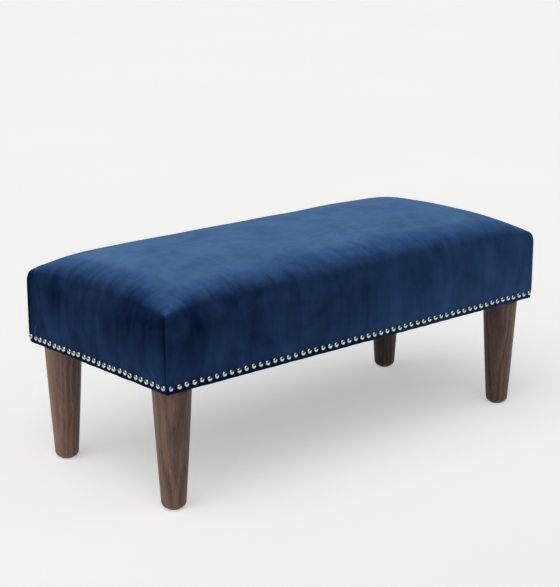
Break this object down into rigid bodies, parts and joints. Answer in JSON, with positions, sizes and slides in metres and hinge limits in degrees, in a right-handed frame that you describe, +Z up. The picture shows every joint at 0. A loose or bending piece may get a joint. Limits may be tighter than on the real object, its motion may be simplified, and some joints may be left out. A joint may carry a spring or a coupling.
{
  "type": "upholstered bench",
  "caption": "Long velvet bench with a crowned padded seat, folded corners, a row of domed nails along the lower edge and round tapered wooden legs.",
  "frame": {"origin": "on the floor under the centre of the seat", "axes": "+X along the bench's length, +Y from the front side to the rear side, +Z up"},
  "size_m": [1.0022, 0.4482, 0.4311],
  "materials": {
    "frame_timber": "planed softwood",
    "stained_walnut": "dark walnut stain, satin lacquer",
    "glide_plastic": "moulded",
    "zinc_steel": "zinc plated",
    "webbing": "woven elastic",
    "platform_cloth": "non-woven",
    "foam": "open cell",
    "wadding": "soft fibre",
    "velvet": "navy velvet with a brushed nap",
    "nail_nickel": "polished nickel",
    "dust_cloth": "non-woven"
  },
  "bodies": {
    "root": {"front_rail": "frame_timber", "rear_rail": "frame_timber", "left_end_rail": "frame_timber", "right_end_rail": "frame_timber", "centre_rail": "frame_timber", "corner_block_front_left": "frame_timber", "corner_block_front_right": "frame_timber", "corner_block_rear_left": "frame_timber", "corner_block_rear_right": "frame_timber", "leg_front_left": "stained_walnut", "leg_front_right": "stained_walnut", "leg_rear_left": "stained_walnut", "leg_rear_right": "stained_walnut", "glides": "glide_plastic", "frame_dowels": "frame_timber", "block_screws": "zinc_steel", "hanger_bolts": "zinc_steel", "tee_nuts": "zinc_steel", "long_webbing_1": "webbing", "long_webbing_2": "webbing", "long_webbing_3": "webbing", "cross_webbing_1": "webbing", "cross_webbing_2": "webbing", "cross_webbing_3": "webbing", "cross_webbing_4": "webbing", "cross_webbing_5": "webbing", "cross_webbing_6": "webbing", "cross_webbing_7": "webbing", "cross_webbing_8": "webbing", "platform_cloth": "platform_cloth", "seat_foam": "foam", "seat_wadding": "wadding", "velvet_cover": "velvet", "nails_front": "nail_nickel", "nails_rear": "nail_nickel", "nails_left": "nail_nickel", "nails_right": "nail_nickel", "dust_cover": "dust_cloth"}
  },
  "joints": []
}
